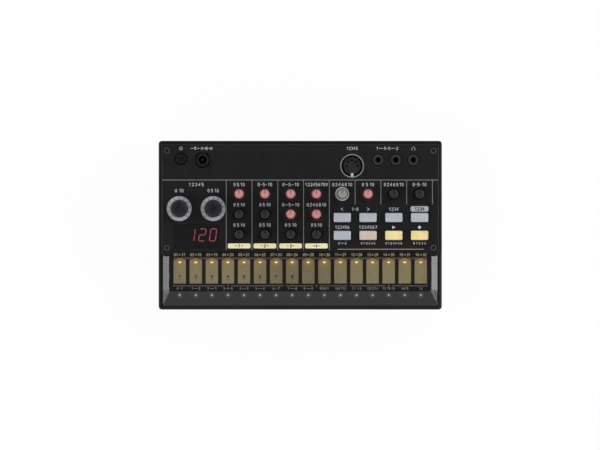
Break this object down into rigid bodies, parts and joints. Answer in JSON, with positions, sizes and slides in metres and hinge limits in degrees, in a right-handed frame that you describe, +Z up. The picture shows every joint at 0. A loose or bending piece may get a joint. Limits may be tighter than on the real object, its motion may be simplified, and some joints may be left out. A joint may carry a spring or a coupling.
{
  "type": "drum machine",
  "caption": "Compact desktop drum machine with a sloping panel of knobs and buttons, a display, sockets and a smoked cover over touch pads.",
  "frame": {"origin": "under the middle of the case, at the level of the feet", "axes": "+X to the player's right, +Y to the rear with the sockets, +Z up"},
  "size_m": [0.193, 0.1156, 0.045],
  "materials": {
    "case_plastic": "fine spark-eroded texture",
    "panel_plastic": "fine satin texture",
    "display_pane": "dark red pane, glossy",
    "smoked_plastic": "smoked clear plastic, glossy",
    "board_laminate": "solder resist",
    "pad_gold": "gold flash",
    "light_source": "clear lens",
    "clear_plastic": "clear, glossy",
    "bright_metal": "nickel plated",
    "component_plastic": "moulded",
    "display_plastic": "moulded",
    "socket_plastic": "moulded",
    "pressed_steel": "zinc plated",
    "cone_paper": "doped paper",
    "magnet_iron": "ferrite",
    "cell_jacket": "printed jacket, bare",
    "foot_rubber": "matt",
    "screw_steel": "blackened",
    "knob_plastic": "satin",
    "lit_knob_plastic": "translucent, lit from inside",
    "clear_knob_plastic": "translucent",
    "cap_plastic": "smoked",
    "button_grey": "translucent satin",
    "button_beige": "translucent satin",
    "button_yellow": "translucent satin"
  },
  "bodies": {
    "housing": {"upper_case": "case_plastic", "lower_case": "case_plastic", "control_panel": "panel_plastic", "display_window": "display_pane", "touch_cover": "smoked_plastic", "touch_board": "board_laminate", "touch_pads": "pad_gold", "step_leds": "light_source", "front_light_pipes": "clear_plastic", "board_spacers": "bright_metal", "main_board": "board_laminate", "potentiometers": "component_plastic", "knob_leds": "light_source", "button_switches": "component_plastic", "power_switch": "component_plastic", "display_module": "display_plastic", "midi_socket": "socket_plastic", "midi_ring": "bright_metal", "mini_jacks": "socket_plastic", "dc_socket": "socket_plastic", "dc_pin": "bright_metal", "speaker_basket": "pressed_steel", "speaker_cone": "cone_paper", "speaker_magnet": "magnet_iron", "battery_contacts": "bright_metal", "battery_cells": "cell_jacket", "rubber_feet": "foot_rubber", "panel_screws": "screw_steel", "case_screws": "screw_steel", "board_screws": "screw_steel"},
    "knob_kick_click": {"knob_kick_click": "lit_knob_plastic"},
    "knob_kick_pitch": {"knob_kick_pitch": "knob_plastic"},
    "knob_kick_decay": {"knob_kick_decay": "knob_plastic"},
    "knob_snare_snappy": {"knob_snare_snappy": "lit_knob_plastic"},
    "knob_snare_pitch": {"knob_snare_pitch": "knob_plastic"},
    "knob_snare_decay": {"knob_snare_decay": "knob_plastic"},
    "knob_tom_high_pitch": {"knob_tom_high_pitch": "lit_knob_plastic"},
    "knob_tom_low_pitch": {"knob_tom_low_pitch": "lit_knob_plastic"},
    "knob_tom_decay": {"knob_tom_decay": "knob_plastic"},
    "knob_hat_closed_decay": {"knob_hat_closed_decay": "lit_knob_plastic"},
    "knob_hat_open_decay": {"knob_hat_open_decay": "lit_knob_plastic"},
    "knob_hat_grain": {"knob_hat_grain": "knob_plastic"},
    "knob_sample_speed": {"knob_sample_speed": "clear_knob_plastic"},
    "knob_tempo": {"knob_tempo": "lit_knob_plastic"},
    "knob_part_level": {"knob_part_level": "knob_plastic"},
    "knob_volume": {"knob_volume": "knob_plastic"},
    "knob_stutter_time": {"knob_stutter_time": "cap_plastic", "shaft_stutter_time": "bright_metal"},
    "knob_stutter_depth": {"knob_stutter_depth": "cap_plastic", "shaft_stutter_depth": "bright_metal"},
    "button_part_left": {"button_part_left": "button_grey"},
    "button_part_right": {"button_part_right": "button_grey"},
    "button_mute": {"button_mute": "button_grey"},
    "button_function": {"button_function": "button_grey"},
    "button_memory": {"button_memory": "button_grey"},
    "button_step_mode": {"button_step_mode": "button_beige"},
    "button_play": {"button_play": "button_yellow"},
    "button_record": {"button_record": "button_yellow"},
    "power_button": {"power_button": "knob_plastic"},
    "battery_door": {"battery_door": "case_plastic"}
  },
  "joints": [
    {"name": "knob_kick_click_turn", "type": "hinge", "parent": "housing", "child": "knob_kick_click", "pos_m": [-0.0416, 0.02058, 0.0355], "axis": [0, -0.0698, 0.9976], "range_deg": [-135, 135]},
    {"name": "knob_kick_pitch_turn", "type": "hinge", "parent": "housing", "child": "knob_kick_pitch", "pos_m": [-0.0416, 0.00686, 0.03454], "axis": [0, -0.0698, 0.9976], "range_deg": [-135, 135]},
    {"name": "knob_kick_decay_turn", "type": "hinge", "parent": "housing", "child": "knob_kick_decay", "pos_m": [-0.0416, -0.00686, 0.03358], "axis": [0, -0.0698, 0.9976], "range_deg": [-135, 135]},
    {"name": "knob_snare_snappy_turn", "type": "hinge", "parent": "housing", "child": "knob_snare_snappy", "pos_m": [-0.02406, 0.02058, 0.0355], "axis": [0, -0.0698, 0.9976], "range_deg": [-135, 135]},
    {"name": "knob_snare_pitch_turn", "type": "hinge", "parent": "housing", "child": "knob_snare_pitch", "pos_m": [-0.02406, 0.00686, 0.03454], "axis": [0, -0.0698, 0.9976], "range_deg": [-135, 135]},
    {"name": "knob_snare_decay_turn", "type": "hinge", "parent": "housing", "child": "knob_snare_decay", "pos_m": [-0.02406, -0.00686, 0.03358], "axis": [0, -0.0698, 0.9976], "range_deg": [-135, 135]},
    {"name": "knob_tom_high_pitch_turn", "type": "hinge", "parent": "housing", "child": "knob_tom_high_pitch", "pos_m": [-0.00652, 0.02058, 0.0355], "axis": [0, -0.0698, 0.9976], "range_deg": [-135, 135]},
    {"name": "knob_tom_low_pitch_turn", "type": "hinge", "parent": "housing", "child": "knob_tom_low_pitch", "pos_m": [-0.00652, 0.00686, 0.03454], "axis": [0, -0.0698, 0.9976], "range_deg": [-135, 135]},
    {"name": "knob_tom_decay_turn", "type": "hinge", "parent": "housing", "child": "knob_tom_decay", "pos_m": [-0.00652, -0.00686, 0.03358], "axis": [0, -0.0698, 0.9976], "range_deg": [-135, 135]},
    {"name": "knob_hat_closed_decay_turn", "type": "hinge", "parent": "housing", "child": "knob_hat_closed_decay", "pos_m": [0.01102, 0.02058, 0.0355], "axis": [0, -0.0698, 0.9976], "range_deg": [-135, 135]},
    {"name": "knob_hat_open_decay_turn", "type": "hinge", "parent": "housing", "child": "knob_hat_open_decay", "pos_m": [0.01102, 0.00686, 0.03454], "axis": [0, -0.0698, 0.9976], "range_deg": [-135, 135]},
    {"name": "knob_hat_grain_turn", "type": "hinge", "parent": "housing", "child": "knob_hat_grain", "pos_m": [0.01102, -0.00686, 0.03358], "axis": [0, -0.0698, 0.9976], "range_deg": [-135, 135]},
    {"name": "knob_sample_speed_turn", "type": "hinge", "parent": "housing", "child": "knob_sample_speed", "pos_m": [0.02856, 0.02058, 0.0355], "axis": [0, -0.0698, 0.9976], "range_deg": [-135, 135]},
    {"name": "knob_tempo_turn", "type": "hinge", "parent": "housing", "child": "knob_tempo", "pos_m": [0.0461, 0.02058, 0.0355], "axis": [0, -0.0698, 0.9976], "range_deg": [-135, 135]},
    {"name": "knob_part_level_turn", "type": "hinge", "parent": "housing", "child": "knob_part_level", "pos_m": [0.06364, 0.02058, 0.0355], "axis": [0, -0.0698, 0.9976], "range_deg": [-135, 135]},
    {"name": "knob_volume_turn", "type": "hinge", "parent": "housing", "child": "knob_volume", "pos_m": [0.08118, 0.02058, 0.0355], "axis": [0, -0.0698, 0.9976], "range_deg": [-135, 135]},
    {"name": "knob_stutter_time_turn", "type": "hinge", "parent": "housing", "child": "knob_stutter_time", "pos_m": [-0.0824, 0.0106, 0.0348], "axis": [0, -0.0698, 0.9976], "range_deg": [-135, 135]},
    {"name": "knob_stutter_depth_turn", "type": "hinge", "parent": "housing", "child": "knob_stutter_depth", "pos_m": [-0.0593, 0.0106, 0.0348], "axis": [0, -0.0698, 0.9976], "range_deg": [-135, 135]},
    {"name": "button_part_left_press", "type": "slide", "parent": "housing", "child": "button_part_left", "axis": [0, 0.0698, -0.9976], "range_m": [0, 0.0006], "stiffness_N_per_m": 500},
    {"name": "button_part_right_press", "type": "slide", "parent": "housing", "child": "button_part_right", "axis": [0, 0.0698, -0.9976], "range_m": [0, 0.0006], "stiffness_N_per_m": 500},
    {"name": "button_mute_press", "type": "slide", "parent": "housing", "child": "button_mute", "axis": [0, 0.0698, -0.9976], "range_m": [0, 0.0006], "stiffness_N_per_m": 500},
    {"name": "button_function_press", "type": "slide", "parent": "housing", "child": "button_function", "axis": [0, 0.0698, -0.9976], "range_m": [0, 0.0006], "stiffness_N_per_m": 500},
    {"name": "button_memory_press", "type": "slide", "parent": "housing", "child": "button_memory", "axis": [0, 0.0698, -0.9976], "range_m": [0, 0.0006], "stiffness_N_per_m": 500},
    {"name": "button_step_mode_press", "type": "slide", "parent": "housing", "child": "button_step_mode", "axis": [0, 0.0698, -0.9976], "range_m": [0, 0.0006], "stiffness_N_per_m": 500},
    {"name": "button_play_press", "type": "slide", "parent": "housing", "child": "button_play", "axis": [0, 0.0698, -0.9976], "range_m": [0, 0.0006], "stiffness_N_per_m": 500},
    {"name": "button_record_press", "type": "slide", "parent": "housing", "child": "button_record", "axis": [0, 0.0698, -0.9976], "range_m": [0, 0.0006], "stiffness_N_per_m": 500},
    {"name": "power_button_press", "type": "slide", "parent": "housing", "child": "power_button", "axis": [0, 0.0698, -0.9976], "range_m": [0, 0.0006], "stiffness_N_per_m": 500},
    {"name": "battery_door_hinge", "type": "hinge", "parent": "housing", "child": "battery_door", "pos_m": [-0.025, 0.04101, 0.002], "axis": [1, 0, 0], "range_deg": [0, 80]}
  ]
}
